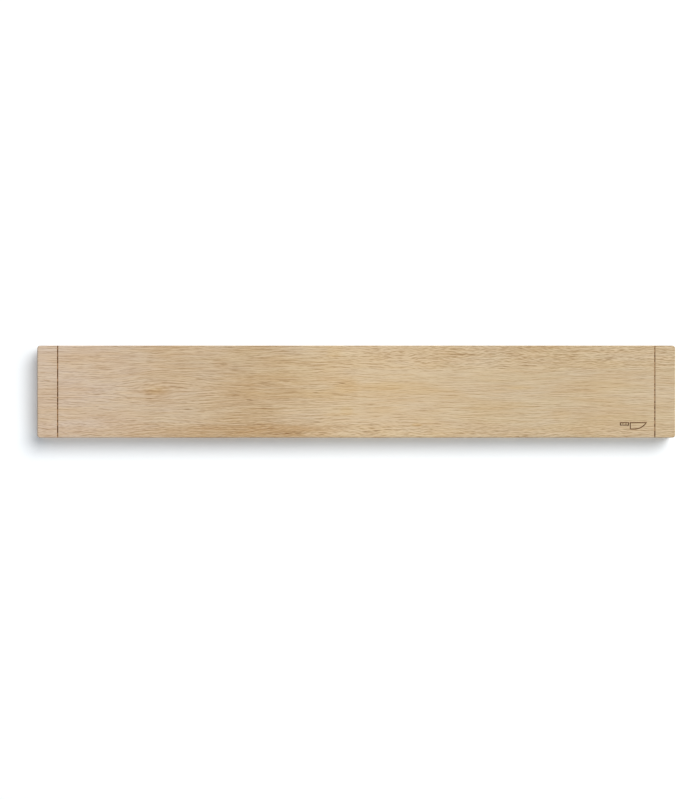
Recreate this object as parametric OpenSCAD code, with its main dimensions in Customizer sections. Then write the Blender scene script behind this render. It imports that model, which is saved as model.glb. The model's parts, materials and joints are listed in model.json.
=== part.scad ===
// Wall-hung magnetic knife rack: a wooden bar with ferrite magnets behind a thin front skin.
// Frame: +X along the rack, +Y into the wall, +Z up. The origin lies on the wall, midway between
// the two wall screws, and the front face looks along -Y. All sizes are in millimetres.

/* [Board] */
// Length of the board, end to end
board_len = 450; // [445:5:600]
// Height of the board
board_h = 65; // [60:1:80]
// Thickness of the board, front to back
board_t = 20; // [19:1:26]
// Radius of the four corners, seen from the front
corner_r = 2; // [2:0.5:6]
// Radius of the eased edges
edge_r = 1; // [0.5:0.25:1.5]
// How far the middle of the board hangs below the wall screws
drop = 6; // [4:1:8]

/* [Front decoration] */
// Distance of each burnt line from its end of the board
line_inset = 14.5; // [10:0.5:16]
// Width of the burnt lines
line_w = 0.7; // [0.4:0.1:1.2]
// Depth of the burnt lines
line_d = 0.4; // [0.2:0.1:0.8]
// Distance of the knife pictogram's middle from the right end
mark_inset = 29.6; // [28:0.1:40]
// Height of the pictogram's middle above the lower edge
mark_up = 8.4; // [6:0.1:20]
// Width of the pictogram's burnt strokes
mark_stroke = 0.6; // [0.3:0.05:0.7]
// Depth of the pictogram
mark_d = 0.3; // [0.1:0.1:0.6]

/* [Magnets] */
// Number of block magnets
magnet_count = 11; // [7:1:11]
// Width and height of a block magnet
magnet_size = 28; // [24:1:28]
// Thickness of a block magnet
magnet_t = 10; // [8:1:10]
// Gap between neighbouring magnets
magnet_gap = 2; // [0.5:0.5:2]
// Thickness of the steel keeper strip behind the magnets
keeper_t = 2; // [1:0.5:2]
// Thickness of the foam strip behind the keeper
foam_t = 1; // [0.5:0.5:1]

/* [Back cover] */
// Thickness of the cover that closes the magnet channel
cover_t = 4; // [3:0.5:4]
// Width of the ledge that the cover is screwed to
ledge = 7.7; // [7:0.1:8]
// Length of the cover screws
cover_screw_len = 12; // [10:1:14]

/* [Hangers] */
// Distance of each hanger from its end of the board
hanger_inset = 35; // [35:1:38]
// Width of a hanger plate
plate_w = 16; // [14:1:16]
// Height of a hanger plate
plate_h = 40; // [38:1:44]
// Thickness of a hanger plate
plate_t = 1.5; // [1:0.25:1.5]
// Radius of the keyhole's large round opening
keyhole_r = 4.75; // [4.5:0.05:5]
// Half the width of the keyhole's slot
slot_r = 2.25; // [2.2:0.05:2.4]
// How far the rack lifts before the screw heads pass through the keyholes
lift = 9; // [8:0.5:10]
// Length of the screws that hold the hangers
hanger_screw_len = 12; // [10:1:14]

/* [Wall pads] */
// Radius of a wall pad
pad_r = 5; // [4:0.5:6]
// Thickness of a wall pad
pad_t = 1.5; // [1.2:0.1:3]
// Distance of the pads from the ends and from the top and bottom edges
pad_inset = 10; // [8:0.5:12]

/* [Wall fixings] */
// Length of a wall screw below its head
wall_screw_len = 35; // [30:5:40]
// Radius of a wall screw
wall_screw_r = 2; // [1.9:0.05:2.1]
// Radius of a wall screw's head
wall_head_r = 4; // [3.5:0.25:4]
// Height of a wall screw's head
wall_head_h = 3; // [2.5:0.25:3]
// Radius of a wall plug, which is the radius of its hole in the wall
plug_r = 3; // [3:0.5:4]
// Length of a wall plug
plug_len = 30; // [25:1:30]

/* [Hidden] */
$fn = 64;

// Where things lie along Y: the wall is at 0 and the room is on the negative side
back_y = -pad_t;
front_y = back_y - board_t;
plate_y = back_y - plate_t;
foam_y = back_y - cover_t;
keeper_y = foam_y - foam_t;
magnet_y = keeper_y - keeper_t;
channel_end_y = magnet_y - magnet_t;

// Where things lie along X and Z
mid_z = -drop;
hanger_x = board_len / 2 - hanger_inset;
line_x = board_len / 2 - line_inset;
pad_x = board_len / 2 - pad_inset;
pad_z = board_h / 2 - pad_inset;

// Magnet channel and the rebate round it
side_gap = 0.3;
magnet_pitch = magnet_size + magnet_gap;
row_len = magnet_count * magnet_pitch - magnet_gap;
channel_len = row_len + 2 * side_gap + magnet_gap;
channel_h = magnet_size + 2 * side_gap;
rebate_len = channel_len + 2 * ledge;
rebate_h = channel_h + 2 * ledge;
cover_gap = 0.15;
cover_r = 4;
cover_screw_z = (channel_h + ledge) / 2;
cover_screw_xs = [-1, 0, 1] * (channel_len / 2 - magnet_pitch);

// Small countersunk wood screws of the cover and the hangers
screw_r = 1.25;
screw_head_r = 2.6;
screw_tip = 2.5;
screw_gap = 0.02;
cover_hole_r = 1.4;
plate_screw_reach = plate_h / 2 - 5;

// Keyholes. At rest the slot's round top lies on the wall screw with only a hair's gap.
rest_gap = 0.02;
slot_z = wall_screw_r - slot_r + rest_gap;
keyhole_z = slot_z - lift;
plate_r = 3;
plate_gap = 0.15;
head_room = 1;
head_gap = 0.3;
cavity_d = head_gap + wall_head_h + 1.7;

// Wall screws and plugs
wall_head_y = plate_y - head_gap;
plain_len = 6;
wall_tip = 4;
thread_pitch = 1.8;
thread_d = 0.5;
plug_bore_r = 1.75;
collar_r = 4.2;
collar_t = 0.8;
slit_w = 0.8;
slit_y = 6;

// Knife pictogram, drawn from the heel of the blade, tip to the right
blade_len = 12;
blade_h = 5;
belly_len = 8.5;
handle_len = 6.4;
handle_h = 2.3;
bolster = 0.6;
rivet_r = 0.3;

// How far a cutter runs past an open face
past = 1;

sides = [-1, 1];

function magnet_name(i) = str("magnet_", i < 10 ? "0" : "", i);
function bumper_name(sx, sz) = str("bumper_", sz > 0 ? "top_" : "bottom_", sx > 0 ? "right" : "left");
function hanger_name(sx) = str("hanger_", sx > 0 ? "right" : "left");

// ---------- Shapes that repeat ----------

// Stands an outline up in the XZ plane and gives it depth from y towards the room
module slab(y, depth) {
    translate([0, y, 0])
        rotate([90, 0, 0])
            linear_extrude(depth)
                children();
}

// A rectangle with round corners, centred on the origin
module rounded_bar(w, h, r) {
    square([w - 2 * r, h], center = true);
    square([w, h - 2 * r], center = true);
    for (sx = sides, sy = sides)
        translate([sx * (w / 2 - r), sy * (h / 2 - r)])
            circle(r);
}

// A solid bar with round corners seen from the front and eased edges all round
module eased_block(w, h, t, r, ease) {
    intersection() {
        rotate([90, 0, 0])
            linear_extrude(t, center = true)
                rounded_bar(w, h, r);
        linear_extrude(h, center = true)
            rounded_bar(w, t, ease);
        rotate([90, 0, 90])
            linear_extrude(w, center = true)
                rounded_bar(t, h, ease);
    }
}

// A slot with round ends between two heights
module upright_slot(r, z_low, z_high) {
    translate([-r, z_low])
        square([2 * r, z_high - z_low]);
    for (z = [z_low, z_high])
        translate([0, z])
            circle(r);
}

// A cross for a screwdriver, cut down from z = 0
module cross_recess(span, width, depth) {
    for (turn = [0, 90])
        rotate(turn)
            translate([-span / 2, -width / 2, -depth])
                cube([span, width, depth + past]);
}

// A countersunk wood screw that points along -Z, with its head's face at z = 0
module countersunk_screw(length) {
    taper = screw_head_r - screw_r;
    difference() {
        rotate_extrude()
            polygon([
                [0, 0],
                [screw_head_r, 0],
                [screw_r, -taper],
                [screw_r, screw_tip - length],
                [0, -length]
            ]);
        cross_recess(2.8, 0.7, 0.9);
    }
}

// The hole that takes such a screw: its countersink, then a pilot bore
module countersunk_hole(length, r) {
    head = screw_head_r + screw_gap;
    translate([0, 0, r - head])
        cylinder(h = head - r, r1 = r, r2 = head);
    translate([0, 0, -length])
        cylinder(h = length, r = r);
    cylinder(h = past, r = head);
}

// One keyhole: the slot that rests on the wall screw, and the opening its head passes
module keyhole() {
    upright_slot(slot_r, keyhole_z, slot_z);
    translate([0, keyhole_z])
        circle(keyhole_r);
}

// ---------- The knife pictogram ----------

// The blade's outline, drawn smaller all round by inset
module blade_outline(inset) {
    flat_len = blade_len - belly_len;
    belly_r = (belly_len * belly_len + blade_h * blade_h) / (2 * blade_h);
    translate([inset, inset])
        square([flat_len - inset, blade_h - 2 * inset]);
    intersection() {
        translate([flat_len - past, inset])
            square([belly_len + past, blade_h - 2 * inset]);
        translate([flat_len, belly_r])
            circle(belly_r - inset, $fn = 128);
    }
}

// The handle's outline, drawn smaller all round by inset
module handle_outline(inset) {
    translate([-bolster - handle_len + inset, blade_h - handle_h + inset])
        square([handle_len - 2 * inset, handle_h - 2 * inset]);
}

// A plain kitchen knife in thin strokes, centred on the origin
module knife_mark() {
    translate([(bolster + handle_len - blade_len) / 2, -blade_h / 2]) {
        difference() {
            blade_outline(0);
            blade_outline(mark_stroke);
        }
        difference() {
            handle_outline(0);
            handle_outline(mark_stroke);
        }
        for (i = [1, 2])
            translate([-bolster - handle_len * i / 3, blade_h - handle_h / 2])
                circle(rivet_r, $fn = 8);
    }
}

// ---------- What is cut from the board ----------

module channel_cut() {
    slab(back_y + past, back_y - channel_end_y + past)
        translate([0, mid_z])
            square([channel_len, channel_h], center = true);
    slab(back_y + past, cover_t + past)
        translate([0, mid_z])
            rounded_bar(rebate_len, rebate_h, cover_r);
}

module hanger_cut() {
    for (sx = sides)
        translate([sx * hanger_x, 0, 0]) {
            slab(back_y + past, plate_t + past)
                translate([0, mid_z])
                    rounded_bar(plate_w + 2 * plate_gap, plate_h + 2 * plate_gap, plate_r);
            slab(plate_y + past, cavity_d + past)
                upright_slot(wall_head_r + head_room, keyhole_z, slot_z);
        }
}

module front_cut() {
    for (sx = sides)
        slab(front_y + line_d, line_d + past)
            translate([sx * line_x, mid_z])
                square([line_w, board_h + 2 * past], center = true);
    slab(front_y + mark_d, mark_d + past)
        translate([board_len / 2 - mark_inset, mid_z - board_h / 2 + mark_up])
            knife_mark();
}

// Places its children at every cover screw
module at_cover_screws() {
    for (x = cover_screw_xs, sz = sides)
        translate([x, back_y, mid_z + sz * cover_screw_z])
            rotate([-90, 0, 0])
                children();
}

// Places its children at every hanger screw
module at_hanger_screws() {
    for (sx = sides, sz = sides)
        translate([sx * hanger_x, back_y, mid_z + sz * plate_screw_reach])
            rotate([-90, 0, 0])
                children();
}

// ---------- Sub-parts ----------

module board() {
    color("burlywood")
        difference() {
            translate([0, back_y - board_t / 2, mid_z])
                eased_block(board_len, board_h, board_t, corner_r, edge_r);
            channel_cut();
            hanger_cut();
            front_cut();
            at_cover_screws()
                countersunk_hole(cover_screw_len + past, screw_r + screw_gap);
            at_hanger_screws()
                countersunk_hole(hanger_screw_len + past, screw_r + screw_gap);
        }
}

module back_cover() {
    color("tan")
        difference() {
            slab(back_y, cover_t)
                translate([0, mid_z])
                    rounded_bar(rebate_len - 2 * cover_gap, rebate_h - 2 * cover_gap, cover_r);
            at_cover_screws()
                countersunk_hole(cover_t + past, cover_hole_r);
        }
}

module cover_screws() {
    color("goldenrod")
        at_cover_screws()
            countersunk_screw(cover_screw_len);
}

module foam_strip() {
    color("dimgray")
        slab(foam_y, foam_t)
            translate([0, mid_z])
                square([row_len, magnet_size], center = true);
}

module keeper_strip() {
    color("silver")
        slab(keeper_y, keeper_t)
            translate([0, mid_z])
                square([row_len, magnet_size], center = true);
}

module magnet(i) {
    color("darkslategray")
        slab(magnet_y, magnet_t)
            translate([(i - (magnet_count + 1) / 2) * magnet_pitch, mid_z])
                rounded_bar(magnet_size, magnet_size, 1);
}

module hanger(sx) {
    color("lightsteelblue")
        difference() {
            slab(back_y, plate_t)
                translate([sx * hanger_x, 0])
                    difference() {
                        translate([0, mid_z])
                            rounded_bar(plate_w, plate_h, plate_r);
                        keyhole();
                    }
            at_hanger_screws()
                countersunk_hole(plate_t + past, screw_r + screw_gap);
        }
}

module hanger_screws() {
    color("lightsteelblue")
        at_hanger_screws()
            countersunk_screw(hanger_screw_len);
}

module bumper(sx, sz) {
    color("gray")
        slab(0, pad_t)
            translate([sx * pad_x, mid_z + sz * pad_z])
                circle(pad_r);
}

// Points down one side of the wall screw, from under its head to its tip, one notch a turn
function thread_points() = let(
        end = wall_screw_len - wall_tip,
        turns = floor((end - plain_len) / thread_pitch)
    ) [
        for (i = [0:turns - 1], corner = [0:3])
            let(z = plain_len + i * thread_pitch)
            [
                wall_screw_r - (corner == 1 || corner == 2 ? thread_d : 0),
                -(z + thread_pitch * [0, 0.25, 0.55, 0.8][corner])
            ]
    ];

module wall_screws() {
    cap_r = (wall_head_r * wall_head_r + wall_head_h * wall_head_h) / (2 * wall_head_h);
    color("lightgray")
        for (sx = sides)
            translate([sx * hanger_x, wall_head_y, 0])
                rotate([90, 0, 0]) {
                    difference() {
                        intersection() {
                            translate([0, 0, wall_head_h - cap_r])
                                sphere(cap_r);
                            cylinder(h = wall_head_h, r = 2 * wall_head_r);
                        }
                        translate([0, 0, wall_head_h])
                            cross_recess(4.4, 1, 1.9);
                    }
                    rotate_extrude()
                        polygon(concat(
                            [[0, 0], [wall_screw_r, 0]],
                            thread_points(),
                            [[wall_screw_r - thread_d, wall_tip - wall_screw_len], [0, -wall_screw_len]]
                        ));
                }
}

module wall_plugs() {
    color("whitesmoke")
        for (sx = sides)
            translate([sx * hanger_x, 0, 0])
                rotate([-90, 0, 0])
                    difference() {
                        union() {
                            cylinder(h = plug_len, r = plug_r);
                            translate([0, 0, -collar_t])
                                cylinder(h = collar_t, r = collar_r);
                        }
                        translate([0, 0, -collar_t - past])
                            cylinder(h = plug_len + collar_t + 2 * past, r = plug_bore_r);
                        translate([-slit_w / 2, -plug_r - past, slit_y])
                            cube([slit_w, 2 * (plug_r + past), plug_len]);
                    }
}

// ---------- What is drawn ----------

board();
back_cover();
cover_screws();
foam_strip();
keeper_strip();
for (i = [1:magnet_count])
    magnet(i);
for (sx = sides)
    hanger(sx);
hanger_screws();
for (sx = sides, sz = sides)
    bumper(sx, sz);
wall_screws();
wall_plugs();
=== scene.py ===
"""Looks of a wall-hung magnetic knife rack: a rubberwood bar with magnets behind its front skin.

Everything is in metres in the row frame: X along the bar, Y into the wall, Z up, and the
origin on the wall midway between the wall screws. Materials count in millimetres.
"""

import json
import math

import bmesh
import bpy
from mathutils import Matrix, Vector


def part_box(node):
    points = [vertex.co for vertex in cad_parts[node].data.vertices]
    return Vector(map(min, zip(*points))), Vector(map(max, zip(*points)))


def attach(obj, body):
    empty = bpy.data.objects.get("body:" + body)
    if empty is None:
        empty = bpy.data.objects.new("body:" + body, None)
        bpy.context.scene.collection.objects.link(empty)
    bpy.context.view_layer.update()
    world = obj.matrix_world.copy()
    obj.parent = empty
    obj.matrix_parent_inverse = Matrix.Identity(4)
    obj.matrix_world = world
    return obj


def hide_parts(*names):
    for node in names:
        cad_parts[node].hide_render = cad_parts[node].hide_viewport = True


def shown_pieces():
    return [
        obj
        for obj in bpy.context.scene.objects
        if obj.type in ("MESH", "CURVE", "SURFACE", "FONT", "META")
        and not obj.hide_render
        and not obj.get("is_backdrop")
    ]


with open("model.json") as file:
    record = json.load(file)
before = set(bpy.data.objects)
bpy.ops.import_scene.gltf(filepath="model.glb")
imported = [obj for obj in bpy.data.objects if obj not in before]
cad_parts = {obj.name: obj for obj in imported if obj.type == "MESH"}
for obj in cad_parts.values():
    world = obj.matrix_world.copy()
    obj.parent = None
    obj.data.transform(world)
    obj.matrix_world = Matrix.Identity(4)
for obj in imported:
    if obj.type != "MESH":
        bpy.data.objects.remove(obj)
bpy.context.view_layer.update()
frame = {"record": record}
MOUNTS = {mount["name"]: mount for mount in frame["record"]["mounts"]}

MM = 0.001
OVER = 1 * MM  # how far a cutter runs past an open face
CREASE = 28  # degrees; a sharper edge keeps a crease
WHOLE_SIDE = 1.0  # a pitch longer than any side, for a side with no points between its corners

# ---------- Places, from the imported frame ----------

BOARD_LOW, BOARD_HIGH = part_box("board")
MID_Z = (BOARD_LOW.z + BOARD_HIGH.z) / 2
FRONT_Y = BOARD_LOW.y
BACK_Y = BOARD_HIGH.y
HALF_LEN = BOARD_HIGH.x
HALF_H = (BOARD_HIGH.z - BOARD_LOW.z) / 2
COVER_LOW, COVER_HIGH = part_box("back_cover")
MAGNET_COUNT = 11
MAGNETS_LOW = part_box("magnet_01")[0]
MAGNETS_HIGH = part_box("magnet_11")[1]
PLATE_LOW, PLATE_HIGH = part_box("hanger_right")
PLATE_X = (PLATE_LOW.x + PLATE_HIGH.x) / 2
WALL_SCREW_LOW, WALL_SCREW_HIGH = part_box("wall_screws")
PLUG_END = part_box("wall_plugs")[1].y

# ---------- Sizes ----------

BOARD_CORNER_R = 2 * MM
BOARD_EASE_R = 1.0 * MM
BOARD_PITCH = 12 * MM
EASE_WAVER = 0.12  # how much the easing varies, as a share of its radius
LINE_X = HALF_LEN - 14.5 * MM
LINE_W = 0.7 * MM
LINE_D = 0.4 * MM

MARK_X = HALF_LEN - 29.6 * MM
MARK_Z = BOARD_LOW.z + 8.4 * MM
MARK_STROKE = 0.6 * MM
MARK_D = 0.3 * MM
MARK_LIP = 0.03 * MM  # how far a stroke opens at the face
MARK_LEAN = 0.12 * MM  # how far its walls lean inwards at the bottom
BLADE_LEN = 12 * MM
BLADE_H = 5 * MM
BELLY_LEN = 8.5 * MM
HANDLE_LEN = 6.4 * MM
HANDLE_H = 2.3 * MM
BOLSTER = 0.6 * MM
RIVET_R = 0.3 * MM

COVER_GAP = 0.15 * MM
COVER_CORNER_R = 4 * MM
COVER_EASE_R = 0.35 * MM
COVER_PITCH = 50 * MM
COVER_BORE_R = 1.4 * MM
COVER_BORE_LEN = 6 * MM
CHANNEL_GAP = 0.3 * MM
CHANNEL_SPARE = 1 * MM  # more room at either end
CHANNEL_CORNER_R = 0.6 * MM

PLATE_CORNER_R = 3 * MM
PLATE_GAP = 0.15 * MM
PLATE_EASE_R = 0.3 * MM
PLATE_ROLL = 0.18 * MM  # how round the keyhole's edges are
PLATE_BORE_LEN = 3 * MM

SMALL_HEAD_R = 2.6 * MM
SMALL_R = 1.25 * MM
SMALL_ROOT_R = 0.88 * MM
SMALL_LEN = 12 * MM
SMALL_PITCH = 1.1 * MM
SMALL_PLAIN = 3 * MM
SMALL_TIP = 2.5 * MM
SMALL_CROSS = (2.8 * MM, 0.7 * MM, 0.9 * MM)  # its recess: width, arm and depth
BORE_PLAY = 0.02 * MM
PLATE_BORE_R = SMALL_R + 0.12 * MM
PLATE_SCREW_REACH = (PLATE_HIGH.z - PLATE_LOW.z) / 2 - 5 * MM
COVER_SCREW_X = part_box("cover_screws")[1].x - SMALL_HEAD_R
COVER_SCREW_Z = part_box("cover_screws")[1].z - SMALL_HEAD_R - MID_Z

KEYHOLE_R = MOUNTS["keyholes"]["dims"]["hole_r_mm"] * MM
KEYHOLE_Z = MOUNTS["keyholes"]["pos_m"][2]
SLOT_R = 2.25 * MM
SLOT_TOP = -0.23 * MM
CAVITY_R = 5 * MM  # relief for the wall screws' heads
CAVITY_Y = -8 * MM

WALL_HEAD_R = 4 * MM
WALL_HEAD_H = 3 * MM
WALL_RIM = 0.1 * MM  # how thick the head is at its rim
WALL_SHANK_R = 2 * MM
WALL_ROOT_R = 1.42 * MM
WALL_PITCH = 1.8 * MM
WALL_PLAIN = 6 * MM
WALL_TIP = 5 * MM
WALL_CROSS = (4.4 * MM, 1.0 * MM, 1.9 * MM)

PLUG_R = 3 * MM
PLUG_BORE_R = 1.75 * MM
PLUG_COLLAR_R = 4.2 * MM
PLUG_COLLAR_Y = 0.8 * MM
PLUG_NECK = 3.5 * MM  # plain part before the ribs
PLUG_NOSE = 3 * MM  # plain part after them, at least
RIB = 2.6 * MM
RIB_DEPTH = 0.32 * MM
SLIT_W = 0.8 * MM
SLIT_START = 6 * MM
SLIT_REACH = 5 * MM
SLIT_CORNER_R = 0.05 * MM

PAD_ROLL = 0.6 * MM
PAD_DISH = 0.18 * MM

# Corner radius and easing
MAGNET_EDGES = (1.0 * MM, 0.35 * MM)
KEEPER_EDGES = (0.4 * MM, 0.25 * MM)
FOAM_EDGES = (0.4 * MM, 0.35 * MM)

# ---------- Nodes of a material ----------


def arithmetic(operation):
    """An operator of Num, which adds a math node."""
    def apply(self, *other):
        return self.graph.math(operation, self, *other)
    return apply


class Num:
    """A number inside a material's node graph, with arithmetic."""

    def __init__(self, graph, socket):
        self.graph = graph
        self.socket = socket

    def __rsub__(self, other):
        return self.graph.math("SUBTRACT", other, self)

    __add__ = arithmetic("ADD")
    __radd__ = __add__
    __sub__ = arithmetic("SUBTRACT")
    __mul__ = arithmetic("MULTIPLY")
    __truediv__ = arithmetic("DIVIDE")
    __pow__ = arithmetic("POWER")
    __abs__ = arithmetic("ABSOLUTE")


class Graph:
    """One material and short calls that add nodes to it.

    x, y and z are millimetres in the row frame. nx and ny say how squarely a face looks along X
    and along Y, from 0 to 1.
    """

    def __init__(self, name):
        self.material = bpy.data.materials.new(name)
        self.material.use_nodes = True
        self.tree = self.material.node_tree
        self.tree.nodes.clear()
        place = self.new("TexCoord")
        split = self.new("SeparateXYZ", Vector=place.outputs["Object"])
        self.x, self.y, self.z = (Num(self, out) * (1 / MM) for out in split.outputs)
        facing = self.new("SeparateXYZ", Vector=place.outputs["Normal"])
        self.nx = abs(Num(self, facing.outputs[0]))
        self.ny = abs(Num(self, facing.outputs[1]))

    def feed(self, socket, value):
        """Gives an input a number, a colour, or what another node puts out."""
        if isinstance(value, Num):
            value = value.socket
        if isinstance(value, bpy.types.NodeSocket):
            self.tree.links.new(value, socket)
        elif isinstance(value, tuple):
            socket.default_value = (*value, 1)
        else:
            socket.default_value = value

    def new(self, kind, *values, **named):
        """A node of a kind. Values feed its first inputs, and named ones the inputs of that name."""
        made = self.tree.nodes.new("ShaderNode" + kind)
        for socket, value in zip(made.inputs, values):
            self.feed(socket, value)
        for name, value in named.items():
            self.feed(made.inputs[name.replace("_", " ")], value)
        return made

    def math(self, operation, a, b=0.0):
        """What one math node makes of one or two numbers."""
        made = self.new("Math", a, b)
        made.operation = operation
        return Num(self, made.outputs[0])

    def step(self, value, start, end, low=0.0, high=1.0):
        """A smooth step from low, at start, to high, at end."""
        made = self.new("MapRange", value, start, end, low, high)
        made.interpolation_type = "SMOOTHSTEP"
        return Num(self, made.outputs["Result"])

    def spread(self, size, at):
        """A point, or else the shaded one, over the size of a texture's features: 1 or 3 numbers."""
        sizes = size if isinstance(size, tuple) else (size, size, size)
        place = [value / length for value, length in zip(at or (self.x, self.y, self.z), sizes)]
        return self.new("CombineXYZ", *place).outputs[0]

    def noise(self, size, detail=2.0, roughness=0.5, at=None):
        """Smooth noise from 0 to 1."""
        place = self.spread(size, at)
        made = self.new("TexNoise", Vector=place, Scale=1.0, Detail=detail, Roughness=roughness)
        return Num(self, made.outputs[0])

    def cells(self, size, at=None):
        """Voronoi cells: the distance to the nearest seed, and a random number for each cell."""
        made = self.new("TexVoronoi", Vector=self.spread(size, at), Scale=1.0)
        luck = self.new("SeparateColor", made.outputs["Color"])
        return Num(self, made.outputs["Distance"]), Num(self, luck.outputs[0])

    def ramp(self, value, stops):
        """Colours along a number: stops are (place, colour) pairs."""
        made = self.new("ValToRGB", value)
        made.color_ramp.interpolation = "EASE"
        elements = made.color_ramp.elements
        while len(elements) < len(stops):
            elements.new(0.5)
        for element, (place, colour) in zip(elements, stops):
            element.position = place
            element.color = (*colour, 1)
        return made.outputs[0]

    def mix(self, share, a, b, blend="MIX"):
        """Two colours as one, with a share of the second."""
        made = self.new("Mix", share)
        made.data_type = "RGBA"
        made.blend_type = blend
        self.feed(made.inputs[6], a)
        self.feed(made.inputs[7], b)
        return made.outputs[2]

    def tint(self, colour, share, tone):
        """The colour multiplied by a tone, by a share."""
        return self.mix(share, colour, tone, "MULTIPLY")

    def end(self, shader):
        """Ends the graph in a shader node and gives the material."""
        self.new("OutputMaterial", Surface=shader.outputs[0])
        return self.material

    def finish(self, colour, roughness, height, depth, **more):
        """Ends the graph in a principled shader, with a bump, and gives the material.

        The bump's height of 0 to 1 stands for a depth in metres.
        """
        bump = self.new("Bump", Height=height, Distance=depth, Strength=1.0)
        look = {"Base_Color": colour, "Roughness": roughness, "Normal": bump.outputs[0]}
        return self.end(self.new("BsdfPrincipled", **look, **more))

    def finish_paint(self, colour, clear):
        """Ends the graph in matt paint that is clear by a share and gives the material."""
        paint = self.new("BsdfDiffuse", Color=colour)
        glass = self.new("BsdfTransparent")
        return self.end(self.new("MixShader", clear, paint.outputs[0], glass.outputs[0]))


def shade(red, green, blue):
    """A linear colour from the 0 to 255 numbers of a colour chart."""
    def line(value):
        value /= 255
        return value / 12.92 if value <= 0.04045 else ((value + 0.055) / 1.055) ** 2.4
    return line(red), line(green), line(blue)


# ---------- Wood ----------

# Tone along the bar: a share of its length from the left end, and the colour there
TONES = [
    (0.0, shade(220, 200, 180)),
    (0.35, shade(210, 188, 156)),
    (0.5, shade(220, 198, 164)),
    (0.8, shade(210, 190, 158)),
]
PALE_STREAK_AND_HIGHLIGHT = shade(234, 211, 178)

# What the features of the grain multiply the tone by
COOL_TINT = (1.0, 1.0, 1.02)
WARM_TINT = (1.0, 0.99, 0.95)
PATCH_TINT = (0.965, 0.92, 0.85)
BROWN_TINT = (0.86, 0.75, 0.61)
GOLD_TINT = (0.98, 0.91, 0.74)
BAND_TINT = (0.955, 0.915, 0.86)
STREAK_TINT = (0.725, 0.645, 0.565)
HEART_TINT = (0.93, 0.86, 0.68)
VESSEL_TINT = (0.66, 0.56, 0.45)
FLECK_TINT = (0.60, 0.50, 0.38)
FIBRE_TINT = (0.945, 0.92, 0.895)
END_TINT = (0.84, 0.79, 0.72)
END_PORE_TINT = (0.45, 0.36, 0.28)

# Sizes of the features in mm: along the bar, through it and up it
DRIFT = (90, 30, 24)
WAVE = (16, 5, 5)
SHORT_STREAK = (4.2, 0.6, 0.42)
LONG_STREAK = (19, 0.8, 0.46)
BAND = (30, 3.5, 1.6)
FIBRE = (6, 0.2, 0.16)
VESSEL = (12, 0.8, 0.8)
PATCH = (50, 20, 12)
WARMTH = (60, 20, 11)
WARMTH_SHIFT = 1860  # mm along the bar, away from the other features
END_PORE = (4, 0.55, 0.55)

DRIFT_SPAN = 8.0  # mm from the lowest to the highest that the grain can drift
KNOT = (-0.63, 0.03)  # share of the half length, share of the half height
KNOT_FLOW = (26.0, 10.0)  # how far round it the grain bends, in mm
KNOT_PULL = 0.62  # how strongly it bends
KNOT_HEART = (8.0, 3.2)  # half sizes in mm
# The pale rim beside each grain line is a painted highlight; these two set where it lies and how strong
# it is.
RIM = 0.7  # how far a line's pale rim lies from it, in mm
PAINTED_HIGHLIGHT_SHARE = 0.27

# Blotches in the front face: place as shares of the half length and half
# height, half sizes in mm, rise in mm per mm, strength
DARK_FLECKS = [
    (-0.53, -0.38, 5.0, 0.7, -0.10, 0.9),
    (-0.335, -0.18, 3.0, 0.7, -0.10, 1.0),
    (-0.415, 0.60, 4.0, 1.6, -0.15, 0.6),
    (-0.045, 0.19, 3.5, 0.8, -0.10, 0.9),
    (-0.125, -0.02, 3.5, 0.7, -0.10, 0.7),
    (-0.125, -0.65, 3.5, 0.7, -0.15, 0.8),
    (0.52, -0.975, 6.0, 0.8, 0.0, 1.0),
    (0.045, -0.86, 14.0, 0.7, 0.07, 0.9),
    (-0.20, -0.90, 24.0, 1.1, 0.02, 0.9),
    (-0.32, -0.72, 12.0, 0.7, 0.03, 0.6),
    (-0.04, 0.78, 4.0, 0.7, -0.15, 0.5),
    (0.10, 0.76, 5.0, 0.7, 0.10, 0.6),
    (0.33, 0.80, 16.0, 1.0, -0.03, 0.6),
    (0.78, 0.70, 8.0, 1.0, 0.12, 0.5),
    (0.89, 0.28, 4.0, 0.8, -0.05, 0.8),
]
GOLD_PATCHES = [
    (-0.03, 0.12, 14.0, 7.0, 0.0, 0.8),
    (0.08, 0.12, 22.0, 4.0, 0.0, 0.8),
    (0.19, -0.72, 5.0, 1.6, -0.10, 1.0),
    (0.64, -0.50, 9.0, 6.0, 0.0, 0.5),
    (-0.07, 0.85, 7.0, 5.0, 0.0, 0.5),
    (-0.22, 0.12, 60.0, 20.0, 0.0, 0.42),
    (-0.03, -0.42, 6.0, 4.0, 0.0, 0.6),
    (0.52, 0.08, 14.0, 2.0, 0.0, 0.6),
]
BROWN_ZONES = [
    (-0.33, -0.15, 46.0, 36.0, 0.0, 0.28),
    (-0.33, -0.93, 70.0, 11.0, 0.01, 1.0),
    (-0.52, -0.93, 110.0, 9.0, 0.01, 0.5),
    (0.60, 0.92, 110.0, 9.0, 0.0, 0.24),
    (-0.63, 0.02, 14.0, 8.0, 0.0, 0.45),
    (-0.42, 0.60, 9.0, 5.0, 0.0, 0.55),
    (-0.12, -0.80, 30.0, 5.0, 0.04, 0.5),
]


def spots(graph, places, z):
    """A mask of soft-edged blotches on the front face."""
    total = None
    for share_x, share_z, half_x, half_z, rise, strength in places:
        across = graph.x - share_x * HALF_LEN / MM
        up = z - (MID_Z + share_z * HALF_H) / MM - across * rise
        reach = (across / half_x) ** 2.0 + (up / half_z) ** 2.0
        spot = graph.step(reach, 1.0, 0.0, 0.0, strength)
        total = spot if total is None else graph.math("MAXIMUM", total, spot)
    return total


def bell(graph, across, up):
    """1 in the middle, falling off smoothly in two directions."""
    return graph.math("EXPONENT", (across ** 2.0 + up ** 2.0) * -1.0)


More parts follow.
